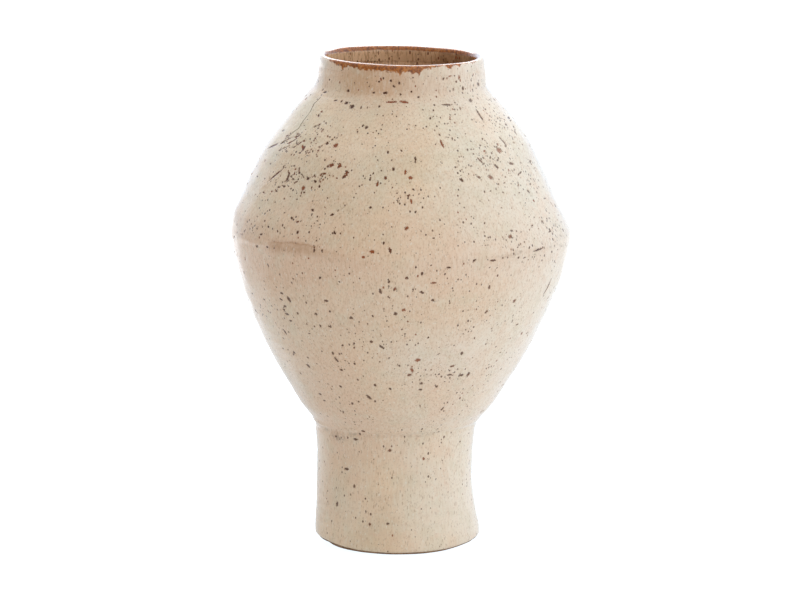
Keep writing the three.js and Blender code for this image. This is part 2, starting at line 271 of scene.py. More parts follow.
# Smaller specks seen from the front: (degrees round, height).
AMBER_SPECKS = [
    (-138, 301), (-39, 302), (-22, 304), (-95, 280), (-36, 273), (-33, 242),
]
DARK_SPECKS = [
    (-113, 330), (-109, 330), (-102, 331), (-99, 325), (-94, 326), (-70, 328), (-52, 328),
    (-32, 325), (-18, 330), (-109, 318), (-85, 319), (-73, 323), (-71, 324), (-69, 324),
    (-67, 323), (-55, 319), (-35, 318), (-30, 316), (-26, 318), (-11, 316), (-111, 314),
    (-72, 315), (-70, 312), (-67, 310), (-66, 310), (-64, 309), (-42, 315), (-22, 311),
    (-22, 313), (-14, 310), (-12, 314), (-102, 304), (-95, 301), (-89, 302), (-62, 304),
    (-58, 301), (-56, 301), (-50, 303), (-47, 307), (-35, 306), (-34, 300), (-26, 301),
    (-16, 308), (-109, 296), (-100, 298), (-99, 296), (-93, 296), (-72, 294), (-64, 294),
    (-62, 297), (-47, 294), (-19, 298), (-104, 285), (-101, 284), (-100, 287), (-97, 289),
    (-65, 290), (-64, 284), (-63, 288), (-61, 289), (-58, 290), (-57, 284), (-55, 288),
    (-52, 290), (-50, 286), (-45, 286), (-43, 292), (-18, 286), (-18, 284), (-105, 278),
    (-55, 280), (-46, 279), (-42, 280), (-39, 282), (-36, 283), (-33, 280), (-31, 281),
    (-16, 281), (-106, 273), (-99, 274), (-90, 270), (-90, 268), (-89, 271), (-84, 276),
    (-82, 273), (-55, 272), (-52, 272), (-49, 273), (-47, 276), (-46, 270), (-44, 276),
    (-40, 275), (-37, 268), (-31, 268), (-28, 275), (-27, 272), (-141, 262), (-123, 266),
    (-112, 261), (-81, 264), (-58, 266), (-54, 266), (-134, 256), (-130, 253), (-122, 260),
    (-119, 253), (-109, 252), (-75, 255), (-73, 257), (-63, 256), (-51, 256), (-49, 260),
    (-38, 253), (-20, 260), (-148, 250), (-140, 245), (-136, 250), (-132, 246), (-100, 245),
    (-95, 246), (-92, 251), (-82, 248), (-78, 248), (-69, 251), (-69, 246), (-68, 249),
    (-59, 245), (-58, 251), (-36, 251), (-36, 245), (-33, 250), (-29, 246), (-25, 247),
    (-146, 242), (-143, 244), (-135, 243), (-98, 242), (-95, 240), (-86, 242), (-78, 243),
    (-70, 237), (-60, 236), (-59, 236), (-58, 241), (-52, 239), (-48, 239), (-47, 244),
    (-45, 243), (-43, 242), (-27, 238), (-145, 230), (-139, 231), (-119, 233), (-116, 232),
    (-111, 233), (-97, 233), (-80, 232), (-47, 232), (-46, 234), (-45, 234), (-43, 235),
    (-85, 223), (-80, 224), (-60, 226), (-59, 220), (-54, 226), (-52, 226), (-47, 225),
    (-45, 221), (-44, 224), (-42, 222), (-28, 224), (-23, 224), (-118, 213), (-56, 219),
    (-135, 212), (-130, 207), (-129, 210), (-111, 211), (-106, 211), (-94, 212), (-138, 202),
    (-136, 198), (-126, 198), (-94, 200), (-148, 190), (-137, 193), (-116, 188), (-107, 191),
    (-103, 190), (-96, 192), (-96, 190), (-93, 194), (-51, 190), (-44, 188), (-144, 186),
    (-141, 184), (-137, 185), (-100, 186), (-95, 182), (-135, 177), (-127, 176), (-117, 176),
    (-110, 175), (-107, 172), (-107, 178), (-104, 174), (-102, 180), (-52, 172), (-42, 175),
    (-38, 172), (-127, 169), (-97, 171), (-79, 169), (-72, 170), (-59, 166), (-144, 161),
    (-132, 162), (-113, 162), (-110, 163), (-108, 161), (-108, 164), (-96, 161), (-73, 156),
    (-52, 160), (-148, 152), (-144, 152), (-140, 151), (-132, 149), (-118, 155), (-115, 155),
    (-113, 150), (-101, 153), (-98, 150), (-94, 153), (-74, 155), (-41, 151), (-41, 154),
    (-128, 145), (-109, 148), (-86, 147), (-32, 143), (-143, 134), (-113, 138), (-109, 135),
    (-106, 138), (-80, 135), (-77, 139), (-73, 139), (-56, 138), (-47, 135), (-42, 134),
    (-33, 136), (-131, 130), (-126, 129), (-125, 125), (-119, 128), (-64, 125), (-122, 119),
    (-111, 117), (-102, 118), (-45, 118), (-134, 114), (-123, 114), (-115, 115), (-78, 114),
    (-62, 115), (-144, 102), (-138, 101), (-123, 107), (-115, 106), (-108, 103), (-118, 99),
    (-113, 100), (-73, 94), (-67, 100), (-61, 93), (-56, 79), (-22, 84), (-21, 71), (-70, 67),
    (-53, 68),
]
# The crowd of small ones on the left shoulder.
CLOSE_SPECKS = [
    (-138.7, 324.8), (-139.4, 322.1), (-134.8, 316.4), (-132.9, 318.8), (-131.1, 318.0),
    (-147.0, 308.3), (-144.9, 308.4), (-142.5, 311.8), (-136.3, 315.5), (-135.3, 311.9),
    (-134.4, 314.0), (-133.7, 311.0), (-132.1, 313.8), (-131.0, 312.0), (-130.6, 313.7),
    (-130.3, 308.5), (-127.6, 312.9), (-126.2, 309.5), (-124.6, 309.2), (-120.9, 311.6),
    (-120.7, 309.0), (-119.0, 310.9), (-163.0, 307.7), (-154.4, 303.8), (-154.3, 305.6),
    (-152.8, 307.6), (-148.9, 305.5), (-148.1, 301.9), (-146.3, 306.2), (-143.1, 306.9),
    (-143.0, 302.5), (-139.1, 304.8), (-136.7, 301.3), (-134.2, 304.2), (-133.2, 305.7),
    (-132.9, 307.3), (-132.0, 300.1), (-131.0, 304.1), (-128.4, 302.2), (-127.1, 303.1),
    (-122.9, 307.6), (-152.6, 295.6), (-152.5, 297.9), (-148.5, 296.9), (-147.4, 299.8),
    (-137.7, 296.8), (-137.0, 293.5), (-133.9, 296.9), (-133.7, 298.8), (-132.4, 297.6),
    (-130.6, 298.7), (-128.0, 297.2), (-127.8, 299.6), (-127.2, 295.9), (-125.5, 299.9),
    (-119.9, 296.5), (-118.3, 294.0), (-116.1, 292.3), (-115.1, 292.3), (-143.5, 287.1),
    (-139.4, 287.4), (-137.6, 288.0), (-136.4, 285.9), (-134.3, 287.0), (-134.1, 285.3),
    (-118.5, 284.2), (-118.0, 290.9), (-115.7, 289.7), (-112.2, 290.5), (-111.8, 287.4),
    (-110.9, 285.2), (-145.6, 276.7), (-141.1, 276.1), (-139.8, 276.9), (-139.6, 283.1),
    (-139.0, 281.3), (-137.7, 277.5), (-137.1, 280.9), (-136.0, 282.8), (-135.6, 279.1),
    (-134.2, 276.7), (-133.4, 283.7), (-133.2, 277.8), (-126.2, 282.1), (-124.8, 282.3),
    (-124.1, 279.2), (-122.5, 283.8), (-122.2, 281.0), (-121.9, 279.3), (-121.7, 276.1),
    (-116.8, 283.8), (-114.8, 282.7), (-111.3, 279.0), (-161.7, 275.2), (-145.3, 268.6),
    (-145.0, 273.4), (-142.6, 269.4), (-142.2, 272.2), (-140.6, 273.8), (-139.2, 273.5),
    (-136.8, 274.0), (-129.1, 268.7), (-127.9, 271.3), (-125.1, 275.0), (-156.0, 263.8),
    (-150.5, 266.6), (-136.8, 265.3), (-134.1, 267.4), (-130.3, 266.0),
]

# The tables of specks, with how amber each is and how large.
SPECK_KINDS = [(AMBER_SPECKS, 0.8, 1.0), (DARK_SPECKS, 0.1, 1.0), (CLOSE_SPECKS, 0.45, 0.7)]
MARK_SHRINK = 0.9  # of the sizes in FRONT_MARKS
SPECK_HALF = (0.5, 1.15)  # least and most half length of a speck
MARK_REACH = 2.6  # a point further than this from every mark stores this
FAR_AWAY = 6.0  # place of such a point, in units of a mark's size
RIGHT_OF = -75  # in degrees round: the specks further to the right are smaller
MARK_SEED = 41

# The hairline crack high on the left shoulder, (degrees round, height).
CRACK = [
    (-148.5, 333), (-150, 329), (-148.5, 324.4), (-149, 318.3), (-149.3, 314.5), (-149, 312),
    (-151, 308.7), (-153, 304.9), (-155, 300),
]
CRACK_FAR = 9.0

# Where small pits crowd together:
# (degrees round, height, spread in degrees, spread in mm, crowding).
PIT_PATCHES = [
    (-134, 299, 8, 7, 0.85), (-138, 306, 7, 6, 0.8), (-150, 298, 6, 9, 0.7), (-118, 287, 8, 4, 0.5),
    (-137, 279, 8, 7, 0.7), (-124, 281, 8, 3, 0.5), (-98, 283, 7, 5, 0.5), (-104, 315, 9, 5, 0.5),
    (-150, 241, 8, 5, 0.6), (-120, 246, 10, 6, 0.35), (-88, 272, 7, 9, 0.5), (-45, 296, 13, 9, 1.0),
    (-36, 283, 10, 7, 0.7), (-56, 290, 8, 8, 0.7), (-30, 318, 12, 12, 0.8), (-62, 318, 9, 6, 0.5),
    (-38, 228, 8, 6, 0.7), (-50, 238, 7, 5, 0.5), (-22, 240, 9, 12, 0.8), (-24, 268, 8, 10, 0.6),
    (-72, 210, 9, 7, 0.5), (-90, 205, 8, 6, 0.4), (-66, 138, 12, 5, 0.6), (-84, 142, 6, 6, 0.5),
    (-100, 165, 8, 8, 0.35), (-128, 84, 8, 3, 0.6), (-85, 350, 28, 3, 0.5), (-30, 344, 14, 7, 0.6),
    (60, 292, 15, 12, 0.9), (15, 300, 12, 10, 0.8), (120, 270, 13, 14, 0.8), (165, 225, 12, 9, 0.6),
    (95, 160, 14, 11, 0.6), (35, 130, 10, 9, 0.5), (100, 86, 12, 3, 0.6), (140, 320, 14, 9, 0.6),
    (75, 225, 14, 7, 0.5), (170, 300, 10, 10, 0.6), (45, 190, 12, 12, 0.4), (150, 140, 12, 10, 0.4),
]

# Single spots scattered over the two sides: (height from, to, count, length from, to).
SCATTER = [
    (100, 226, 90, 1.3, 2.9),
    (226, 336, 80, 1.3, 2.9),
    (6, 90, 14, 1.3, 2.3),
    (336, 354, 10, 1.3, 2.0),
]


def collect_marks():
    """All marks as rows: angle, height, half length, half width, tilt, tone, and whether the
    front shows it."""
    rng = np.random.default_rng(MARK_SEED)
    rows = [
        (math.radians(a), z, MARK_SHRINK * l / 2, MARK_SHRINK * w / 2, math.radians(t), tone, 1)
        for a, z, l, w, t, tone in FRONT_MARKS
    ]
    for table, tone, grow in SPECK_KINDS:
        for angle, height in table:
            half = grow * (SPECK_HALF[0] + (SPECK_HALF[1] - SPECK_HALF[0]) * rng.random() ** 2)
            half *= 0.8 if angle > RIGHT_OF else 1.0
            wide = half * rng.uniform(0.5, 0.75) / grow
            tilt = math.pi / 2 - 0.9 * math.cos(math.radians(angle)) + rng.normal(0, 0.5)
            own = tone * rng.uniform(0.4, 1.6)
            rows.append((math.radians(angle), height, half, wide, tilt, own, 1))
    # The back carries the same marks, turned or mirrored and moved a little.
    for angle, height, half, wide, tilt, tone, _ in list(rows):
        turn = math.radians(rng.uniform(168, 184))
        around = angle + turn if rng.random() < 0.5 else turn - math.pi - angle
        rows.append((wrap(around), height + rng.uniform(-5, 5), half, wide, -tilt, tone, 0))
    for low_z, high_z, count, low, high in SCATTER:
        for _ in range(count):
            side = rng.integers(0, 2) * math.pi
            angle = side + rng.normal(0, 0.35)
            height = rng.uniform(low_z, high_z)
            length = low + (high - low) * rng.random() ** 1.6
            tone = 0.6 + 0.4 * rng.random() if rng.random() < 0.18 else 0.35 * rng.random()
            wide = length * rng.uniform(0.25, 0.42)
            rows.append((wrap(angle), height, length / 2, wide, rng.normal(1.6, 0.7), tone, 0))
    return rows


MARKS = collect_marks()


def stamp_marks(curve, theta):
    """For each point of a grid: mm to the nearest mark, the place along and across that mark in
    units of its size (so that the shader can draw it finer than the grid), its tone, the pitting.

    A mark seen from the front is measured as the front shows it, so near the sides it is wider."""
    n_rows, n_cols = len(curve), len(theta)
    distance = np.full((n_rows, n_cols), MARK_REACH)
    tone, pit = np.zeros((2, n_rows, n_cols))
    place_u, place_v = np.full((2, n_rows, n_cols), FAR_AWAY)
    radius, height, arc = curve[:, 0], curve[:, 1], curve[:, 2]
    step = TAU / n_cols
    for angle, z, half, wide, tilt, shade, facing in MARKS:
        if z < height[0] - 6 or z > height[-1] + 6:
            continue
        centre = np.interp(z, OUTLINE[:TOP_ROW, 1], OUTLINE[:TOP_ROW, 2])
        reach = half + MARK_REACH
        rows = np.where(np.abs(arc - centre) < reach * 1.6)[0]
        if len(rows) == 0:
            continue
        middle = rows[len(rows) // 2]
        squeeze = max(abs(math.sin(angle)), 0.3) if facing else 1.0
        span = int(reach / squeeze / (radius[middle] * step)) + 2
        if span * 2 + 1 >= n_cols:
            continue
        j0 = int(round((angle % TAU) / step))
        cols = np.arange(j0 - span, j0 + span + 1)
        across = (cols * step - (angle % TAU))[None, :] * radius[rows][:, None] * squeeze
        along = (height[rows] - z if facing else arc[rows] - centre)[:, None]
        where = np.ix_(rows, cols % n_cols)
        u = across * math.cos(tilt) + along * math.sin(tilt)
        v = -across * math.sin(tilt) + along * math.cos(tilt)
        k = np.sqrt((u / half) ** 2 + (v / wide) ** 2)
        outside = np.hypot(u, v) * (1 - 1 / np.maximum(k, 1e-6))
        away = np.where(k < 1, (k - 1) * wide, outside)
        nearer = away < distance[where]
        tone[where] = np.where(nearer, shade, tone[where])
        place_u[where] = np.where(nearer, u / half, place_u[where])
        place_v[where] = np.where(nearer, v / wide, place_v[where])
        distance[where] = np.minimum(distance[where], away)
        # A pit, deeper for a bigger mark, with a raised rim round it.
        deep = 0.16 + 0.12 * min(half, 1.6)
        hollow = -deep * np.exp(-(k ** 2) * 0.9) + 0.35 * deep * np.exp(-(((k - 1.7) / 0.45) ** 2))
        pit[where] = np.where(np.abs(hollow) > np.abs(pit[where]), hollow, pit[where])
    return distance, place_u, place_v, tone, pit


# ---------------------------------------------------------------- hand-made relief

# Top edge of the smeared collar at the belly joint, (degrees round, height, thickness in mm).
BELLY_LEDGE = [
    (-180, 226, 0.0), (-162, 227, 0.0), (-150, 231, 0.0), (-141, 233.5, 0.05), (-137, 234.5, 0.5),
    (-130, 236, 0.65), (-123, 236, 0.6), (-117, 234, 0.38), (-108, 230, 0.33), (-102, 226.5, 0.3),
    (-95, 224.5, 0.25), (-69, 224.5, 0.2), (-54, 227, 0.3), (-40, 228.5, 0.35), (-22, 226, 0.2),
    (0, 224, 0.25), (30, 229, 0.45), (55, 233, 0.55), (85, 228, 0.4), (120, 225, 0.3),
    (150, 230, 0.35), (165, 228, 0.1), (180, 226, 0.0),
]


def ledge_top(theta, base):
    return along_ring(BELLY_LEDGE, theta, 1) + 0.8 * value_noise(base, 9, 31)


def outside_relief(theta, z, base):
    """Displacement in mm of the outside: lumps, throwing lines, joint smears."""
    lumps = 0.55 * layered_noise(base, 46, 11) + 0.12 * value_noise(base, 12, 17)
    lumps = lumps * (0.35 + 0.65 * smoothstep(z, 88, 110))
    turns = z / 7.2 + theta / TAU + 0.6 * value_noise(base, 60, 23)
    rings = 0.07 * np.sin(TAU * turns) * (0.6 + 0.6 * value_noise(base, 30, 29))
    top = ledge_top(theta, base)
    thick = along_ring(BELLY_LEDGE, theta, 2)
    ledge = thick * (1 - smoothstep(z, top - 0.4, top + 1.4)) * smoothstep(z, top - 24, top - 5)
    seam = FOOT_JOINT_Z + 1 + 0.5 * value_noise(base, 16, 37)
    strength = 0.7 + 0.5 * value_noise(base, 20, 39)
    bead = strength * (0.4 * bump_at(z, seam + 2.2, 1.5) - 0.45 * bump_at(z, seam - 0.6, 1.0))
    collar = NECK_JOINT_Z - 1.4 + 0.5 * value_noise(base, 14, 43)
    groove = -0.28 * smoothstep(value_noise(base, 26, 47), -0.2, 0.4) * bump_at(z, collar, 1.0)
    left = smoothstep(-np.cos(theta), 0.2, 0.9)
    soften = left * (0.8 * bump_at(z, 245, 13) + 0.9 * bump_at(z, 206, 14))
    return lumps + rings + ledge + bead + groove + soften


def lip_relief(theta, z, base):
    wave = 0.3 * value_noise(base, 22, 53) + 0.05 * value_noise(base, 9, 59)
    return wave * smoothstep(z, 345, 357) + 0.3 * layered_noise(base, 46, 11) * (z < 370)


def inside_relief(theta, z, base):
    turns = z / 9.5 + theta / TAU
    rings = 0.22 * np.sin(TAU * turns + 1.5 * value_noise(base, 50, 61))
    return rings * smoothstep(z, 15, 24) + 0.15 * value_noise(base, 16, 67)


# ---------------------------------------------------------------- glaze masks

# Lower edge of the iron band outside and inside the lip, (degrees round, outside, inside).
BAND_EDGE = [
    (-180, 359.6, 356.4), (-155, 359.2, 356.8), (-146, 357.6, 357.2), (-140, 356.1, 357.4),
    (-110, 355.8, 357.6), (-92, 355.4, 357.6), (-79, 355.2, 357.6), (-74, 357.3, 357.4),
    (-60, 358.8, 357.2), (-40, 359.0, 357.0), (-25, 359.4, 356.8), (10, 359.4, 356.4),
    (40, 357.6, 356.8), (80, 356.6, 357.0), (120, 357.4, 356.8), (150, 358.6, 356.8),
    (180, 359.6, 356.4),
]
OUTSIDE, INSIDE = 1, 2  # columns of BAND_EDGE
# Short runs below the outside edge, in degrees round.
DRIPS = (-134, -91, -78, -54, -45, 20, 62, 71, 118, 133)
LIP_CENTRE_X = 1.1
LIP_CREST = 57.5  # radius at which the lip's outside turns into its inside
LIP_INNER = (55.3, 56.3)
BAND_REACH = 8


def above_edge(theta, z, column):
    """mm above the iron band's lower edge, so that the shader can fray it."""
    ring = ring_points(theta)
    drip = 0.7 * value_noise(ring, 9, 71) + 0.3 * value_noise(ring, 4, 73)
    if column == INSIDE:
        drip = 0.5 * drip
    for place in DRIPS if column == OUTSIDE else ():
        drip = drip - 2.2 * bump_at(degrees_round(theta), place, 1.6)
    above = z - along_ring(BAND_EDGE, theta, column) - drip
    return np.clip(above, -BAND_REACH, BAND_REACH)


def band_outside(theta, z, base):
    return above_edge(theta, z, OUTSIDE)


def band_inside(theta, z, base):
    return above_edge(theta, z, INSIDE)


def lip_radius(base):
    return np.hypot(base[..., 0] - LIP_CENTRE_X, base[..., 1])


def fray_lip(theta, z, base):
    """How ragged the band's edge is: much outside, little inside."""
    return np.where(lip_radius(base) > LIP_CREST, 1.0, 0.25)


def band_lip(theta, z, base):
    """Over the lip the band runs from its outside edge to its inside one, but at the left and
    right ends of the lip the crest is cream."""
    radius = lip_radius(base)
    band = np.where(radius > LIP_CREST, band_outside(theta, z, base), band_inside(theta, z, base))
    ends = bump_at(np.sin(theta), 0, 0.6)
    return np.minimum(band, BAND_REACH - 11 * ends * smoothstep(radius, *LIP_INNER))


def crack_offset(theta, z, base):
    """Signed mm from the hairline crack, so that the shader can draw it finer than the grid."""
    return crack_reach(theta, z, base)[1]


def crack_near(theta, z, base):
    return crack_reach(theta, z, base)[0]


def crack_reach(theta, z, base):
    """mm to the crack, and the same with a sign that tells its two sides apart."""
    angle = degrees_round(theta)
    near, offset = np.full((2, *theta.shape), CRACK_FAR)
    shift = 0.5 * value_noise(base, 3.5, 141)
    reach = np.hypot(base[..., 0], base[..., 1]) * math.radians(1)
    for (a0, z0), (a1, z1) in zip(CRACK[:-1], CRACK[1:]):
        du, dv = reach * (a1 - a0), z1 - z0
        pu, pv = reach * (angle - a0) + shift, z - z0
        t = np.clip((pu * du + pv * dv) / (du * du + dv * dv), 0, 1)
        away = np.hypot(pu - t * du, pv - t * dv)
        side = np.sign(pu * dv - pv * du)
        offset = np.where(away < near, side * away, offset)
        near = np.minimum(near, away)
    return near, offset


def crowd_mask(theta, z, base):
    """How closely small pits crowd together."""
    crowd = 0.3 * smoothstep(layered_noise(base, 30, 113), 0.1, 1.0)
    for angle, height, wide, tall, much in PIT_PATCHES:
        near = bump_at(wrap(theta - math.radians(angle)), 0, math.radians(wide))
        crowd = np.maximum(crowd, much * near * bump_at(z, height, tall))
    return crowd


def soot_mask(theta, z, base):
    """Dark ash lines where glaze is thin over the joints."""
    foot = bump_at(z, FOOT_JOINT_Z - 0.2 + 0.6 * value_noise(base, 16, 37), 1.2)
    foot = foot * smoothstep(layered_noise(base, 18, 79), -0.1, 0.8)
    smudge = bump_at(wrap(theta - math.radians(-134)), 0, 0.13) * bump_at(z, 84.5, 2.6)
    neck = bump_at(z, NECK_JOINT_Z - 2, 1.2) * smoothstep(layered_noise(base, 16, 83), 0.1, 0.9)
    top = ledge_top(theta, base)
    right = smoothstep(degrees_round(theta), -75, -45)
    belly = right * bump_at(z, top + 0.4, 1.2) * smoothstep(layered_noise(base, 12, 89), -0.1, 0.8)
    return np.clip(0.5 * foot + 0.6 * smudge + 0.5 * neck + 0.5 * belly, 0, 1)


def seam_and_ledge_shadow_mask(theta, z, base):
    """The toasted line at the top of the belly collar, and below it a painted shadow of the ledge
    that fades downward.
    """
    top = ledge_top(theta, base)
    thick = along_ring(BELLY_LEDGE, theta, 2)
    # the first bump is the toasted line; the second, below the ledge top, is painted shadow under
    # the ledge
    line = 0.9 * bump_at(z, top + 0.3, 0.8) + 0.65 * bump_at(z, top - 3.2, 3.8)
    patchy = 0.55 + 0.45 * smoothstep(layered_noise(base, 22, 91), -0.6, 0.6)
    return np.clip(line * smoothstep(thick, 0.2, 0.6) * patchy, 0, 1)


def rose_mask(theta, z, base):
    """How pink the glaze breaks, strongest round the neck and under the belly collar."""
    levels = [(0, 0.45), (80, 0.5), (100, 0.65), (170, 0.6), (205, 0.7), (224, 0.95), (240, 0.7),
              (262, 0.5), (285, 0.3), (325, 0.25), (338, 0.7), (350, 0.85), (360, 0.6)]
    level = np.interp(z, *zip(*levels))
    return np.clip(level + 0.25 * layered_noise(base, 44, 97), 0, 1)


def ink_mask(theta, z, base):
    """How strongly the marks show: fainter under the thicker glaze of the right shoulder."""
    degrees = degrees_round(theta)
    right = smoothstep(degrees, -78, -52) * (1 - smoothstep(degrees, 60, 110))
    veil = 0.6 + 0.4 * layered_noise(base, 9, 149, 2)
    low = 0.1 * (1 - smoothstep(z, 205, 225))
    return np.clip(1 - low - 0.3 * right * smoothstep(z, 214, 238) * veil, 0, 1)


def brown_mask(theta, z, base):
    """Thin brown glaze on the front and back of the neck."""
    degrees = degrees_round(theta) + 6 * value_noise(base, 14, 151)
    front = smoothstep(degrees, -137, -121) * (1 - smoothstep(degrees, -70, -38))
    back = smoothstep(degrees, 50, 80) * (1 - smoothstep(degrees, 110, 140))
    rise = smoothstep(z + 1.5 * value_noise(base, 9, 153), 334, 342)
    return rise * np.clip(front + back, 0, 1) * (0.84 + 0.16 * layered_noise(base, 12, 157, 2))


def lit_side_sheen_mask(theta, z, base):
    """Painted sheen: the glaze is made whiter round the lit +X side, where the light falls."""
    side = 0.5 + 0.5 * np.cos(theta - math.radians(-12))
    return np.clip(side + 0.12 * layered_noise(base, 50, 101), 0, 1)


# ---------------------------------------------------------------- mesh making

SECTIONS = [
    ("foot", FOOT_CURVE), ("lower", LOWER_CURVE), ("upper", UPPER_CURVE), ("neck", NECK_CURVE),
    ("lip", LIP_CURVE), ("liner_neck", LINER_NECK_CURVE), ("liner_body", LINER_BODY_CURVE),
    ("liner_foot", LINER_FOOT_CURVE),
]
FINE = 24
SOLID_SPACING = 0.7  # between the rings of a turned solid


def smooth_curve(points):
    """A centripetal curve through (radius, height) points, FINE steps to a span."""
    p = np.array(points, dtype=float)
    p = np.vstack([2 * p[0] - p[1], p, 2 * p[-1] - p[-2]])
    fine = []
    for i in range(1, len(p) - 2):
        p0, p1, p2, p3 = p[i - 1:i + 3]
        t1 = math.sqrt(np.linalg.norm(p1 - p0))
        t2 = t1 + math.sqrt(np.linalg.norm(p2 - p1))
        t3 = t2 + math.sqrt(np.linalg.norm(p3 - p2))
        t = np.linspace(t1, t2, FINE, endpoint=False)[:, None]
        a1 = ((t1 - t) * p0 + t * p1) / t1
        a2 = ((t2 - t) * p1 + (t - t1) * p2) / (t2 - t1)
        a3 = ((t3 - t) * p2 + (t - t2) * p3) / (t3 - t2)
        b1 = ((t2 - t) * a1 + t * a2) / t2
        b2 = ((t3 - t) * a2 + (t - t1) * a3) / (t3 - t1)
        fine.append(((t2 - t) * b1 + (t - t1) * b2) / (t2 - t1))
    return np.vstack(fine + [p[-2][None, :]])


def arc_along(curve):
    steps = np.linalg.norm(np.diff(curve, axis=0), axis=1)
    return np.concatenate([[0], np.cumsum(steps)])


def outward(curve):
    """The two parts, across and up, of the outward direction at each (radius, height)."""
    tangent = np.gradient(curve, axis=0)
    tangent /= np.linalg.norm(tangent, axis=1)[:, None]
    return tangent[:, 1:2], -tangent[:, 0:1]


def all_round(n_cols):
    return (np.arange(n_cols) * TAU / n_cols)[None, :]


def lay_out_outline():
    """The whole outline as (radius, height, arc) rows, and each section's span of arc."""
    fine = smooth_curve([p for _, curve in SECTIONS for p in curve])
    arc = arc_along(fine)
    spans, first, count = {}, 0, 0
    for name, curve in SECTIONS:
        count += len(curve)
        last = (count - 1) * FINE
        spans[name] = (arc[first], arc[last])
        first = last
    return np.column_stack([fine, arc]), spans


OUTLINE, SPANS = lay_out_outline()
TOP_ROW = int(np.argmax(OUTLINE[:, 1]))


def outline_at(arc):
    """(radius, height, arc) at arc lengths, running on straight beyond the ends."""
    rows = [np.interp(arc, OUTLINE[:, 2], OUTLINE[:, k]) for k in (0, 1)]
    start = (OUTLINE[1, :2] - OUTLINE[0, :2]) / (OUTLINE[1, 2] - OUTLINE[0, 2])
    under = np.minimum(arc - OUTLINE[0, 2], 0)
    return np.stack([rows[0] + under * start[0], rows[1] + under * start[1], arc], axis=1)


def grid_normals(grid):
    along = np.gradient(grid, axis=0)
    around = np.roll(grid, -1, axis=1) - np.roll(grid, 1, axis=1)
    normal = np.cross(around, along)
    return normal / np.maximum(np.linalg.norm(normal, axis=2, keepdims=True), 1e-9)


def quads(first, n_rows, n_cols, flip=False):
    i = np.arange(n_rows - 1)[:, None]
    j = np.arange(n_cols)[None, :]
    k = (j + 1) % n_cols
    a, b = first + i * n_cols + j, first + i * n_cols + k
    corners = [a, b, b + n_cols, a + n_cols]
    return np.stack(corners[::-1] if flip else corners, axis=-1).reshape(-1, 4)


def strip(low, high, n_cols):
    """Quads between two rings of vertices that start at `low` and `high`."""
    j = np.arange(n_cols)
    k = (j + 1) % n_cols
    return np.stack([low + j, high + j, high + k, low + k], axis=1)


def fan(first, pole, n_cols, flip=False):
    """Triangles from a ring of vertices that starts at `first` to the one at its middle."""
    j = np.arange(n_cols)
    k = (j + 1) % n_cols
    a, b = (k, j) if flip else (j, k)
    return np.stack([first + a, first + b, 0 * j + pole], axis=1)


def add_mesh(name, vertices, faces, normals=None, sharp_from=None, fields=None):
    """A mesh object from points in mm, with vertex normals for all but the edge faces."""
    mesh = bpy.data.meshes.new(name)
    mesh.from_pydata((vertices * MM).tolist(), [], [list(map(int, f)) for f in faces])
    smooth = np.ones(len(faces), dtype=bool)
    if sharp_from is not None:
        smooth[sharp_from:] = False
    mesh.polygons.foreach_set("use_smooth", smooth)
    for key, values in (fields or {}).items():
        layer = mesh.attributes.new(key, "FLOAT", "POINT")
        layer.data.foreach_set("value", np.asarray(values, dtype=np.float32))
    mesh.update()
    if normals is not None:
        index = np.concatenate([np.asarray(f) for f in faces])
        loops = normals[index]
        loops[sum(len(f) for f in faces[:sharp_from]):] = 0
        mesh.normals_split_custom_set(loops.tolist())
    return add_object(name, mesh)


def skin(name, section, n_cols, spacing, relief, masks, marked=False, back_step=6):
    """A closed skin of glaze that follows one section of the outline.

    The relief is worked out a little past both ends, so that neighbouring skins meet on the
    same surface with the same normals. The hidden back has one row for each `back_step` rows
    of the front."""
    low, high = SPANS[section]
    on_axis = high >= OUTLINE[-1, 2] - 1e-6
    arc = np.linspace(low, high, int(round((high - low) / spacing)) + 1)
    if on_axis:
        arc = arc[:-1]
    step = arc[1] - arc[0]
    before, after = arc[0] - step * np.array([2, 1]), arc[-1] + step * np.array([1, 2])
    arc = np.concatenate([before, arc, after])
    if on_axis:
        arc = arc[:-2]
    curve = outline_at(arc)
    theta = all_round(n_cols)
    radius, height = curve[:, 0:1], curve[:, 1:2]
    out_r, out_z = outward(curve[:, :2])
    base = wobble(radius, height, theta)
    tall = height + 0 * theta
    wide = theta + 0 * tall
    move = relief(wide, tall, base)
    fields = {key: mask(wide, tall, base) for key, mask in masks.items()}
    if marked:
        marks = stamp_marks(curve, theta[0])
        fields.update(zip(("mark", "mark_u", "mark_v", "tone"), marks))
        move = np.maximum(move + marks[-1], RELIEF_FLOOR)
    front = wobble(radius + move * out_r, height + move * out_z, theta)
    normals = grid_normals(front)
    inner = slice(2, None) if on_axis else slice(2, -2)
    front, normals = front[inner], normals[inner]
    fields = {key: values[inner] for key, values in fields.items()}
    rows = len(front)
    picked = np.unique(np.append(np.arange(0, rows, back_step), rows - 1))
    back = (front - GLAZE * normals)[picked]
    vertices = np.concatenate([front.reshape(-1, 3), back.reshape(-1, 3)])
    vertex_normals = np.concatenate([normals.reshape(-1, 3), -normals[picked].reshape(-1, 3)])
    values = {k: np.concatenate([v.ravel(), v[picked].ravel()]) for k, v in fields.items()}
    second = rows * n_cols
    faces = list(quads(0, rows, n_cols)) + list(quads(second, len(picked), n_cols, flip=True))
    front_end, back_end = (rows - 1) * n_cols, second + (len(picked) - 1) * n_cols
    if on_axis:
        poles = [front[-1].mean(axis=0), back[-1].mean(axis=0)]
        vertices = np.concatenate([vertices, poles])
        up = normals[-1].mean(axis=0)
        vertex_normals = np.concatenate([vertex_normals, [up, -up]])
        values = {k: np.append(v, [v[front_end], v[back_end]]) for k, v in values.items()}
        pole = len(vertices) - 2
        faces += list(fan(front_end, pole, n_cols)) + list(fan(back_end, pole + 1, n_cols, True))
    sharp_from = len(faces)
    faces += list(strip(0, second, n_cols))
    if not on_axis:
        faces += list(strip(back_end, front_end, n_cols))
    return add_mesh(name, vertices, faces, vertex_normals, sharp_from, values)


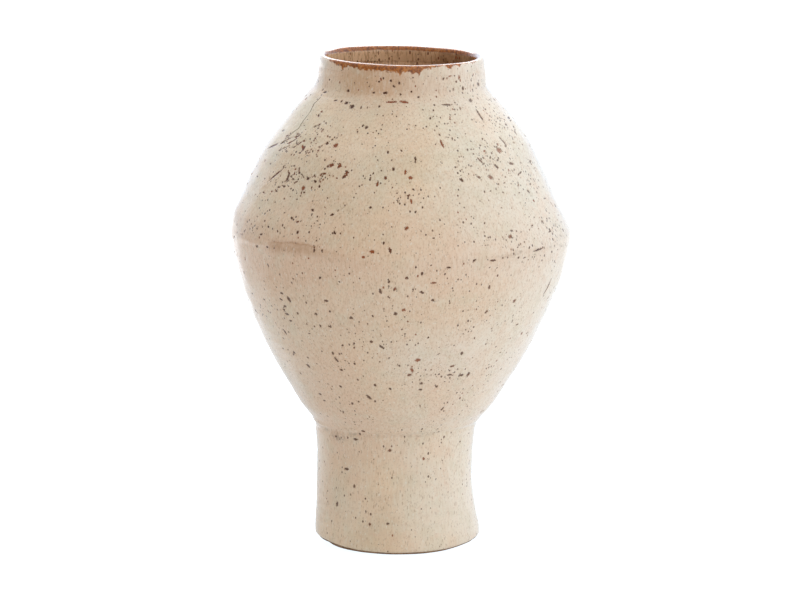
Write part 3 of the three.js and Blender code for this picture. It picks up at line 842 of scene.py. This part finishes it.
def turned_solid(name, outline, n_cols, relief):
    """A closed turned solid; the outline runs (radius, height) from the axis to the axis."""
    curve = smooth_curve(outline)
    arc = arc_along(curve)
    at = np.linspace(0, arc[-1], int(arc[-1] / SOLID_SPACING))[1:-1]
    curve = np.stack([np.interp(at, arc, curve[:, k]) for k in (0, 1)], axis=1)
    theta = all_round(n_cols)
    radius, height = curve[:, 0:1], curve[:, 1:2]
    out_r, out_z = outward(curve)
    base = wobble(radius, height, theta)
    move = relief(theta + 0 * base[..., 0], height + 0 * base[..., 0], base)
    move = move * smoothstep(radius, 0, 10)
    grid = wobble(radius + move * out_r, height + move * out_z, theta)
    rows = len(grid)
    vertices = np.concatenate([grid.reshape(-1, 3), [grid[0].mean(axis=0), grid[-1].mean(axis=0)]])
    start, last = rows * n_cols, (rows - 1) * n_cols
    faces = list(quads(0, rows, n_cols)) + list(fan(0, start, n_cols, True))
    faces += list(fan(last, start + 1, n_cols))
    return add_mesh(name, vertices, faces)


# ---------------------------------------------------------------- materials

def srgb(r, g, b):
    def linear(c):
        c /= 255
        return c / 12.92 if c <= 0.04045 else ((c + 0.055) / 1.055) ** 2.4
    return (linear(r), linear(g), linear(b), 1)


def add_node(tree, kind, inputs=None, **settings):
    made = tree.nodes.new(kind)
    for key, value in settings.items():
        setattr(made, key, value)
    for key, value in (inputs or {}).items():
        if isinstance(value, bpy.types.NodeSocket):
            tree.links.new(value, made.inputs[key])
        else:
            made.inputs[key].default_value = value
    return made


class Tree:
    """Short ways to add number nodes to a node tree."""

    def __init__(self, tree):
        self.tree = tree

    def node(self, kind, inputs=None, **settings):
        return add_node(self.tree, kind, inputs, **settings)

    def math(self, operation, a, b=0.0):
        return self.node("ShaderNodeMath", {0: a, 1: b}, operation=operation).outputs[0]

    def times(self, a, b):
        return self.math("MULTIPLY", a, b)

    def plus(self, a, b):
        return self.math("ADD", a, b)

    def minus(self, a, b):
        return self.math("SUBTRACT", a, b)

    def step(self, value, low, high, to_low=0.0, to_high=1.0):
        """A smooth step from `to_low` where value is `low` to `to_high` where it is `high`."""
        return self.node("ShaderNodeMapRange", {
            "Value": value, "From Min": low, "From Max": high, "To Min": to_low, "To Max": to_high,
        }, interpolation_type="SMOOTHSTEP").outputs["Result"]

    def split(self, vector):
        return self.node("ShaderNodeSeparateXYZ", {0: vector}).outputs


class Graph(Tree):
    """Short ways to add shader nodes to one material. Places are in mm."""

    def __init__(self, name):
        self.material = bpy.data.materials.new(name)
        self.material.use_nodes = True
        super().__init__(self.material.node_tree)
        self.shader = self.tree.nodes["Principled BSDF"]
        where = self.node("ShaderNodeTexCoord").outputs["Object"]
        scale = self.node("ShaderNodeVectorMath", {0: where}, operation="SCALE")
        scale.inputs["Scale"].default_value = 1 / MM
        self.mm = scale.outputs[0]

    def vector(self, a, b, operation="ADD"):
        return self.node("ShaderNodeVectorMath", {0: a, 1: b}, operation=operation).outputs[0]

    def stretched(self, x, y, z):
        return self.vector(self.mm, (x, y, z), "MULTIPLY")

    def noise(self, size, detail=2.0, rough=0.5, shift=0.0, where=None):
        """Noise from 0 to 1 with features about `size` mm across. `shift` picks another part."""
        place = where or self.mm
        if shift:
            place = self.vector(place, (shift, -shift, 2 * shift))
        return self.node("ShaderNodeTexNoise", {
            "Vector": place, "Scale": 1 / size, "Detail": detail, "Roughness": rough,
        }).outputs["Fac"]

    def mix(self, factor, a, b):
        """From colour a where factor is 0 to colour b where it is 1."""
        return self.node("ShaderNodeMix", {0: factor, 6: a, 7: b}, data_type="RGBA").outputs[2]

    def paint(self, colour, *layers):
        """A colour with layers over it, each a share from 0 to 1 and the layer's own colour."""
        for share, over in layers:
            colour = self.mix(share, colour, over)
        return colour

    def total(self, *parts):
        """The sum of values, each with its weight."""
        first, *others = [self.times(value, weight) for value, weight in parts]
        for part in others:
            first = self.plus(first, part)
        return first

    def spots(self, cell, share, size, shift=0.0, where=None):
        """Small round spots, one in a share of the cells: 1 in a spot and 0 outside, and the cell's
        own random value. `cell` and `size` are in mm."""
        place = where or self.mm
        if shift:
            place = self.vector(place, (shift, shift, shift))
        cells = {"Vector": place, "Scale": 1 / cell, "Randomness": 1.0}
        made = self.node("ShaderNodeTexVoronoi", cells)
        chance, own_size, own = self.node(
            "ShaderNodeSeparateColor", {0: made.outputs["Color"]}
        ).outputs
        chosen = self.math("LESS_THAN", chance, share)
        reach = self.times(self.plus(own_size, 0.45), size / cell)
        away = self.minus(made.outputs["Distance"], reach)
        inside = self.step(away, -0.15 * size / cell, 0.1 * size / cell, 1.0, 0.0)
        return self.times(inside, chosen), own

    def attribute(self, name):
        return self.node("ShaderNodeAttribute", attribute_name=name).outputs["Fac"]

    def finish(self, colour, rough, height, bump_mm=1.0, **uniform):
        """The colour, roughness and fine bumps on the shader, and its uniform values."""
        self.tree.links.new(colour, self.shader.inputs["Base Color"])
        self.tree.links.new(rough, self.shader.inputs["Roughness"])
        bump = self.node("ShaderNodeBump", {
            "Height": height, "Strength": 1.0, "Distance": bump_mm * MM,
        })
        self.tree.links.new(bump.outputs[0], self.shader.inputs["Normal"])
        for key, value in uniform.items():
            self.shader.inputs[key.replace("_", " ")].default_value = value
        return self.material


CREAM = srgb(235, 208, 173)
CREAM_PALE = srgb(234, 214, 184)
CREAM_TAN = srgb(218, 195, 163)
ROSE = srgb(229, 190, 158)
NECK_BROWN = srgb(206, 164, 126)
GREY_GREEN = srgb(214, 201, 171)
# milky white of the glaze, also used for the painted sheen on the lit +X side
MILK_AND_SHEEN = srgb(238, 229, 212)
FRECKLE = srgb(158, 124, 94)
PIT_DARK = srgb(76, 36, 6)
PIT_AMBER = srgb(144, 68, 20)
HALO = srgb(190, 152, 118)
# colour of the toasted seam line and of the painted shadow under the belly ledge
SEAM_AND_SHADOW = srgb(184, 142, 108)
CRACK_LINE = srgb(106, 82, 20)
IRON = srgb(180, 104, 34)
IRON_DARK = srgb(124, 66, 24)
IRON_LIGHT = srgb(206, 146, 88)
SOOT = srgb(146, 130, 110)


def band_fray(g, size=2.8):
    """mm by which the iron band's edge wanders, the same in each glaze that meets it."""
    return g.step(g.noise(size, 3, 0.65, 80), 0.3, 0.7, -0.9, 0.9)


def cream_colour(g):
    """The mottled cream glaze without its marks, with a painted sheen whitening the lit +X side:
    its colour and the runs in it.
    """
    rose = g.attribute("rose")
    green = g.step(g.noise(36, 3, 0.6, 90), 0.45, 0.7)
    streaks = g.noise(1.0, 4, 0.65, 12, g.stretched(0.75, 0.75, 0.14))
    worn = g.step(g.split(g.mm)[2], 60, 110, 0.5, 1.0)
    blots, mottle = g.noise(7, 4, 0.65, 61), g.noise(15, 2, 0.5, 160)
    colour = g.paint(
        CREAM,
        (g.step(g.noise(48, 3, 0.55), 0.35, 0.7), CREAM_PALE),
        (g.times(g.step(g.noise(30, 3, 0.55, 40), 0.4, 0.7), 0.35), CREAM_TAN),
        (g.times(green, g.step(rose, 0.2, 0.8, 0.7, 0.15)), GREY_GREEN),
        (g.times(rose, 0.8), ROSE),
        (g.times(g.attribute("brown"), 0.9), NECK_BROWN),
        # painted sheen: the glaze whitened towards the lit +X side (the "pale" attribute)
        (g.step(g.attribute("pale"), 0.55, 1.0, 0.0, 0.55), MILK_AND_SHEEN),
        (g.step(blots, 0.52, 0.7, 0.0, 0.25), ROSE),
        (g.step(blots, 0.48, 0.3, 0.0, 0.25), CREAM_PALE),
        (g.step(mottle, 0.52, 0.7, 0.0, 0.2), ROSE),
        (g.step(mottle, 0.48, 0.3, 0.0, 0.28), GREY_GREEN),
        (g.times(g.step(streaks, 0.5, 0.66, 0.0, 0.3), worn), HALO),
        (g.step(streaks, 0.5, 0.34, 0.0, 0.25), MILK_AND_SHEEN),
        (g.step(g.noise(1.3, 2, 0.6, 25), 0.55, 0.72, 0.0, 0.3), FRECKLE),
    )
    return colour, streaks


def mark_stains(g):
    """The marks of the tables: the halo round each, its core, and the core's colour."""
    near = g.attribute("mark")
    u, v = g.attribute("mark_u"), g.attribute("mark_v")
    away = g.math("SQRT", g.total((u, u), (v, v)))
    away = g.plus(away, g.step(g.noise(1.0, 3, 0.65, 66), 0.25, 0.75, -0.5, 0.5))
    core = g.times(g.step(away, 0.75, 1.1, 1.0, 0.0), g.step(near, 0.3, 0.65, 1.0, 0.0))
    own = g.step(g.noise(1.1, 1, 0.5, 70), 0.3, 0.7, -0.2, 0.2)
    shade = g.step(g.plus(g.attribute("tone"), own), 0.25, 0.95)
    return g.step(near, 0.0, 0.8, 0.25, 0.0), core, g.mix(shade, PIT_DARK, PIT_AMBER)


def cream_glaze():
    """The cream glaze with the ash, the toasted seam and the painted shadow under the belly ledge,
    the crack, the specks, the marks and the iron band's runs laid over it."""
    g = Graph("cream_glaze_speckled")
    colour, streaks = cream_colour(g)
    ink = g.attribute("ink")
    smoke = g.times(g.attribute("soot"), g.step(g.noise(2.5, 2, 0.6, 7), 0.35, 0.65))
    # the toasted seam line and the painted shadow under the belly ledge
    toast_and_shade = g.times(g.attribute("seam"), g.step(g.noise(3, 3, 0.6, 17), 0.3, 0.6, 0.5, 0.95))
    line = g.step(g.math("ABSOLUTE", g.attribute("crack")), 0.28, 0.62, 0.95, 0.0)
    line = g.times(line, g.step(g.attribute("crack_near"), 0.7, 1.2, 1.0, 0.0))
    dust, _ = g.spots(1.6, 0.45, 0.42, 3, g.stretched(1.3, 1.3, 0.42))
    flecks, _ = g.spots(2.1, 0.4, 0.4, 77, g.stretched(1.2, 1.2, 0.6))
    tall = g.stretched(1, 1, 0.7)
    lone, own = g.spots(3.4, 0.32, 0.46, 57, tall)
    close, close_own = g.spots(1.9, g.times(g.attribute("crowd"), 0.95), 0.56, 31, tall)
    small = g.math("MAXIMUM", lone, close)
    dark = g.mix(g.step(g.math("MAXIMUM", own, close_own), 0.85, 1.0), PIT_DARK, PIT_AMBER)
    halo, core, stain = mark_stains(g)
    iron = g.step(g.plus(g.attribute("band"), band_fray(g)), -0.4, 0.8)
    rust = g.mix(g.step(g.noise(1.8, 3, 0.6, 84), 0.35, 0.65), IRON, IRON_DARK)
    rust = g.mix(g.step(g.noise(2.6, 3, 0.6, 88), 0.58, 0.72, 0.0, 0.8), rust, IRON_LIGHT)
    colour = g.paint(
        colour, (smoke, SOOT), (toast_and_shade, SEAM_AND_SHADOW), (line, CRACK_LINE), (g.times(dust, 0.42), FRECKLE),
        (g.times(flecks, 0.5), MILK_AND_SHEEN), (g.times(small, g.times(ink, 0.88)), dark), (halo, HALO),
        (g.times(core, g.times(ink, 0.95)), stain), (g.times(iron, 0.92), rust),
    )
    rough = g.step(g.noise(9, 3, 0.6, 110), 0.3, 0.7, 0.06, 0.15)
    rough = g.plus(rough, g.times(core, 0.15))
    height = g.total(
        (g.noise(6, 2, 0.5, 130), 0.16), (g.noise(1.6, 2, 0.55, 140), 0.035), (streaks, 0.03),
        (small, -0.14), (core, -0.12),
    )
    return g.finish(colour, rough, height, IOR=1.42)


# Tones of the tan liner; the pale, brown and dark ones also paint light on the left and shade on
# the right of the inside
LINER = srgb(224, 184, 144)
LINER_DARK_STREAK_AND_SHADE = srgb(140, 96, 62)
LINER_PALE_AND_LIT = srgb(236, 196, 156)
LINER_PAINTED_SHADE = srgb(184, 136, 96)


def liner_colour(g):
    """Tan glaze run into brown streaks, with dark pits, and painted light and shade: paler to the
    left and browner and darker to the right. Its colour and its pits."""
    streaks = g.noise(1.0, 4, 0.7, 5, g.stretched(0.62, 0.62, 0.14))
    # x across the inside, for painted light to the left and painted shade to the right
    side = g.plus(g.split(g.mm)[0], g.step(g.noise(9, 2, 0.6, 35), 0.3, 0.7, -12, 12))
    spots, own = g.spots(2.6, 0.5, 0.6, 19, g.stretched(1, 1, 0.6))
    colour = g.paint(
        LINER,
        (g.step(g.noise(14, 3, 0.6), 0.35, 0.7), LINER_PALE_AND_LIT),
        # painted light and shade: paler to the left, browner and darker to the right
        (g.step(side, 20, -50, 0.0, 0.7), LINER_PALE_AND_LIT),
        (g.step(side, -35, 45, 0.0, 0.6), LINER_PAINTED_SHADE),
        (g.step(side, 18, 58, 0.0, 0.75), LINER_DARK_STREAK_AND_SHADE),
        (g.step(streaks, 0.47, 0.6, 0.0, 0.6), LINER_DARK_STREAK_AND_SHADE),
        (g.times(spots, 0.85), g.mix(own, PIT_DARK, PIT_AMBER)),
    )
    return colour, spots


def iron_glaze():
    """The amber band, and beyond its ragged edge the glaze that lies next to it."""
    g = Graph("iron_glaze_band")
    streaks = g.noise(1.0, 3, 0.65, 12, g.stretched(0.7, 0.7, 0.3))
    fray = g.attribute("fray")
    ragged = g.plus(g.attribute("band"), g.times(fray, band_fray(g)))
    inside = g.step(fray, 0.4, 0.8, 1.0, 0.0)
    spots, _ = g.spots(2.4, 0.35, 0.5, 9)
    colour = g.paint(
        IRON,
        (g.step(streaks, 0.38, 0.62), IRON_DARK),
        (g.step(g.noise(3.2, 3, 0.6, 30), 0.52, 0.75, 0.0, 0.7), IRON_LIGHT),
        (g.step(ragged, -0.4, 0.8, 1.0, 0.0),
         g.mix(inside, cream_colour(g)[0], liner_colour(g)[0])),
        (g.times(spots, 0.6), PIT_DARK),
    )
    rough = g.step(g.noise(6, 2, 0.6, 44), 0.3, 0.7, 0.08, 0.16)
    height = g.total((g.noise(3, 2, 0.5, 71), 0.1), (streaks, 0.04))
    return g.finish(
        colour, rough, height, IOR=1.48, Coat_Weight=0.25, Coat_Roughness=0.05, Coat_IOR=1.5
    )


def liner_glaze():
    g = Graph("liner_glaze_tan")
    colour, spots = liner_colour(g)
    ragged = g.plus(g.attribute("band"), band_fray(g, 2.4))
    colour = g.mix(g.step(ragged, -1.0, 1.4), colour, IRON)
    rough = g.step(g.noise(8, 2, 0.6, 44), 0.3, 0.7, 0.22, 0.4)
    height = g.total((g.noise(4, 2, 0.5, 71), 0.2), (spots, -0.12))
    return g.finish(colour, rough, height, IOR=1.5)


def clay(name, main, dark, pale, grain):
    """Fired stoneware: mottled, with dark iron specks and open grog grains `grain` mm high."""
    g = Graph(name)
    specks, _ = g.spots(2.2, 0.4, 0.5, 44)
    colour = g.paint(
        srgb(*main),
        (g.step(g.noise(18, 4, 0.6), 0.35, 0.68), srgb(*pale)),
        (g.step(g.noise(3, 3, 0.6, 20), 0.45, 0.7, 0.0, 0.6), srgb(*dark)),
        (g.times(specks, 0.7), srgb(*dark)),
    )
    rough = g.step(g.noise(2.0, 2, 0.5, 31), 0.3, 0.7, 0.72, 0.94)
    height = g.total((g.noise(0.9, 3, 0.6, 9), 0.25), (specks, 0.2))
    return g.finish(colour, rough, height, grain, IOR=1.45)


CREAM_GLAZE, IRON_GLAZE, LINER_GLAZE = cream_glaze(), iron_glaze(), liner_glaze()
BARE_CLAY = clay("bare_clay_toasted", (128, 96, 68), (78, 56, 40), (158, 124, 92), 1.0)
BODY_CLAY = clay("body_clay_buff", (190, 164, 132), (120, 92, 66), (210, 188, 158), 0.8)
LUTING_CLAY = clay("luting_clay_grey", (172, 150, 124), (110, 86, 64), (196, 176, 150), 1.0)

# ---------------------------------------------------------------- the glazed skins

# "pale" carries a painted sheen on the lit side; "seam" carries the toasted line and a painted
# shadow under the belly ledge
OUTSIDE_MASKS = {
    "band": band_outside, "soot": soot_mask, "seam": seam_and_ledge_shadow_mask, "rose": rose_mask,
    "pale": lit_side_sheen_mask, "crowd": crowd_mask, "crack": crack_offset,
    "crack_near": crack_near, "ink": ink_mask, "brown": brown_mask,
}


def cover(piece, material, slot, *nodes):
    piece.data.materials.append(material)
    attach(piece, "root")
    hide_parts(*nodes)
    return piece


for name, section, columns, spacing in (
    ("glaze_foot", "foot", 440, 0.85),
    ("glaze_lower", "lower", 600, 1.14),
    ("glaze_upper", "upper", 600, 0.95),
    ("glaze_neck", "neck", 480, 0.8),
):
    piece = skin(name, section, columns, spacing, outside_relief, OUTSIDE_MASKS, marked=True)
    cover(piece, CREAM_GLAZE, "cream_glaze", "outer_glaze")

LIP_MASKS = {
    "band": band_lip, "fray": fray_lip, "brown": brown_mask, "rose": rose_mask, "pale": lit_side_sheen_mask,
}
rim = skin("glaze_rim_band", "lip", 480, 0.5, lip_relief, LIP_MASKS, back_step=2)
cover(rim, IRON_GLAZE, "iron_glaze", "rim_glaze")

for name, section, columns, spacing in (
    ("liner_neck", "liner_neck", 360, 1.0),
    ("liner_body", "liner_body", 300, 2.0),
    ("liner_foot", "liner_foot", 240, 1.6),
):
    piece = skin(name, section, columns, spacing, inside_relief, {"band": band_inside})
    cover(piece, LINER_GLAZE, "liner_glaze", "inner_glaze")

SLAB_OUTLINE = [
    (0, 4.1), (20, 4.1), (40, 4.0), (45, 3.6), (46.9, 2.2), (47.7, 0.6), (49, 0), (52.5, 0),
    (56.6, 0), (58.1, 0.25), (59.0, 0.9), (59.3, 2.2), (59.4, 5), (59.0, 7.4), (56, 8.2),
    (51, 8.6), (50.1, 10), (49.8, 12.5), (48, 13), (20, 13), (0, 13),
]


def slab_relief(theta, z, base):
    radius = np.hypot(base[..., 0], base[..., 1])
    turned = 0.12 * np.sin(radius * 2.2 + theta) * (z < 4.2) * smoothstep(z, 0.0, 0.5)
    return turned + 0.12 * value_noise(base, 5, 107) * smoothstep(z, 0.05, 0.8)


slab = turned_solid("foot_slab", SLAB_OUTLINE, 240, slab_relief)
cover(slab, BARE_CLAY, "bare_clay", "base_slab")

for name, material in (
    ("foot_wall", BODY_CLAY), ("lower_wall", BODY_CLAY), ("upper_wall", BODY_CLAY),
    ("neck_wall", BODY_CLAY), ("base_coil", LUTING_CLAY), ("foot_coil", LUTING_CLAY),
    ("belly_coil", LUTING_CLAY), ("neck_coil", LUTING_CLAY),
):
    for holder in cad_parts[name].material_slots:
        holder.link = "OBJECT"
        holder.material = material

# ---------------------------------------------------------------- floor and light

# The floor glows, as a lit white sweep does, by different amounts left, right, behind and beside.
FLOOR_RADIUS, FLOOR_SIDES, FLOOR_DROP = 6.0, 96, 0.0002
FLOOR_DIM, FLOOR_BRIGHT = 0.36, 0.68
FLOOR_BACK_LEFT, FLOOR_BACK_RIGHT = 1.7, 0.9
FLOOR_LEFT = 0.8
FLOOR_SEEN = 0.5  # extra to the camera, so that it burns out to white
FLOOR_GREY, FLOOR_TINT = (0.3, 0.3, 0.3, 1), (0.92, 1, 1.08, 1)


def make_floor():
    turn = np.arange(FLOOR_SIDES) * TAU / FLOOR_SIDES
    ring = ring_points(turn, FLOOR_RADIUS) - [0, 0, FLOOR_DROP]
    mesh = bpy.data.meshes.new("floor")
    mesh.from_pydata(ring.tolist(), [], [list(range(FLOOR_SIDES))])
    floor = add_object("floor", mesh)
    g = Graph("floor_white")
    for key, value in (
        ("Base Color", FLOOR_GREY), ("Roughness", 1.0), ("Specular IOR Level", 0.0),
        ("Emission Color", FLOOR_TINT),
    ):
        g.shader.inputs[key].default_value = value
    across, behind, _ = g.split(g.mm)
    glow = g.step(across, -450, 450, FLOOR_DIM, FLOOR_BRIGHT)
    far = g.step(across, -300, 300, FLOOR_BACK_LEFT, FLOOR_BACK_RIGHT)
    far = g.times(far, g.step(behind, 200, 900))
    glow = g.math("MAXIMUM", glow, far)
    beside = g.step(across, -60, -260, 0.0, FLOOR_LEFT)
    beside = g.times(beside, g.step(behind, -20, 160))
    glow = g.math("MAXIMUM", glow, beside)
    seen = g.node("ShaderNodeLightPath").outputs["Is Camera Ray"]
    glow = g.plus(glow, g.times(seen, FLOOR_SEEN))
    g.tree.links.new(glow, g.shader.inputs["Emission Strength"])
    mesh.materials.append(g.material)


# Strengths of the surroundings: the room's two sides and top, the part behind on the left, the
# backdrop and the brighter middle of it.
LEFT_LIGHT, RIGHT_LIGHT, TOP_LIGHT = 0.4, 1.2, 1.02
FLANK_LIGHT = 0.66
BACK_LEFT, BACK_RIGHT, CORE_LEFT, CORE_RIGHT = 1.25, 0.95, 1.5, 1.1
BACKDROP = (0.6, 0.72)  # the backdrop's soft edge, as a cosine of the angle from straight behind
COOL, WARM = (0.87, 1.025, 1.22, 1), (1.0, 1.0, 1.0, 1)
OVERHEAD_SIZE, OVERHEAD_POWER = 1.6, 34
OVERHEAD_BEHIND, OVERHEAD_ABOVE = 1.3, 1.65


def make_world():
    """White to the camera; as light, a bright backdrop, a dim left side and a bright right."""
    world = bpy.data.worlds.new("studio")
    bpy.context.scene.world = world
    world.use_nodes = True
    w = Tree(world.node_tree)
    w.tree.nodes.clear()

    def blend(factor, a, b):
        return w.plus(a, w.times(factor, w.minus(b, a)))

    x, y, z = w.split(w.node("ShaderNodeTexCoord").outputs["Generated"])
    level = w.math("SQRT", w.plus(w.times(x, x), w.times(y, y)))
    turn = w.math("DIVIDE", y, w.math("MAXIMUM", level, 0.001))
    flank = w.times(w.step(turn, 0.15, 0.6), w.step(x, -0.2, -0.6))
    back = w.step(x, -0.6, 0.6, BACK_LEFT, BACK_RIGHT)
    core = w.step(x, -0.3, 0.3, CORE_LEFT, CORE_RIGHT)
    light = w.step(x, -0.45, 0.85, LEFT_LIGHT, RIGHT_LIGHT)
    light = blend(flank, light, FLANK_LIGHT)
    light = blend(w.step(turn, *BACKDROP), light, back)
    light = blend(w.step(turn, 0.82, 0.98), light, core)
    light = blend(w.step(z, 0.45, 0.9), light, TOP_LIGHT)
    facing = {0: w.step(y, -0.5, 0.5), 6: WARM, 7: COOL}
    tint = w.node("ShaderNodeMix", facing, data_type="RGBA").outputs[2]
    lit = w.node("ShaderNodeBackground", {"Color": tint, "Strength": light})
    white = w.node("ShaderNodeBackground", {"Color": (1, 1, 1, 1), "Strength": 1.0})
    seen = w.node("ShaderNodeLightPath").outputs["Is Camera Ray"]
    pick = w.node("ShaderNodeMixShader", {0: seen, 1: lit.outputs[0], 2: white.outputs[0]})
    w.node("ShaderNodeOutputWorld", {0: pick.outputs[0]})


def make_overhead():
    """A soft box above and behind, which draws the bright line along the lip."""
    data = bpy.data.lights.new("overhead", "AREA")
    data.shape = "RECTANGLE"
    data.size = data.size_y = OVERHEAD_SIZE
    data.energy = OVERHEAD_POWER
    lamp = add_object("overhead", data)
    lamp.location = (0, OVERHEAD_BEHIND, OVERHEAD_ABOVE)
    lamp.rotation_euler = (-math.pi / 4, 0, 0)


make_floor()
make_world()
make_overhead()
bpy.context.scene.view_settings.view_transform = "Standard"
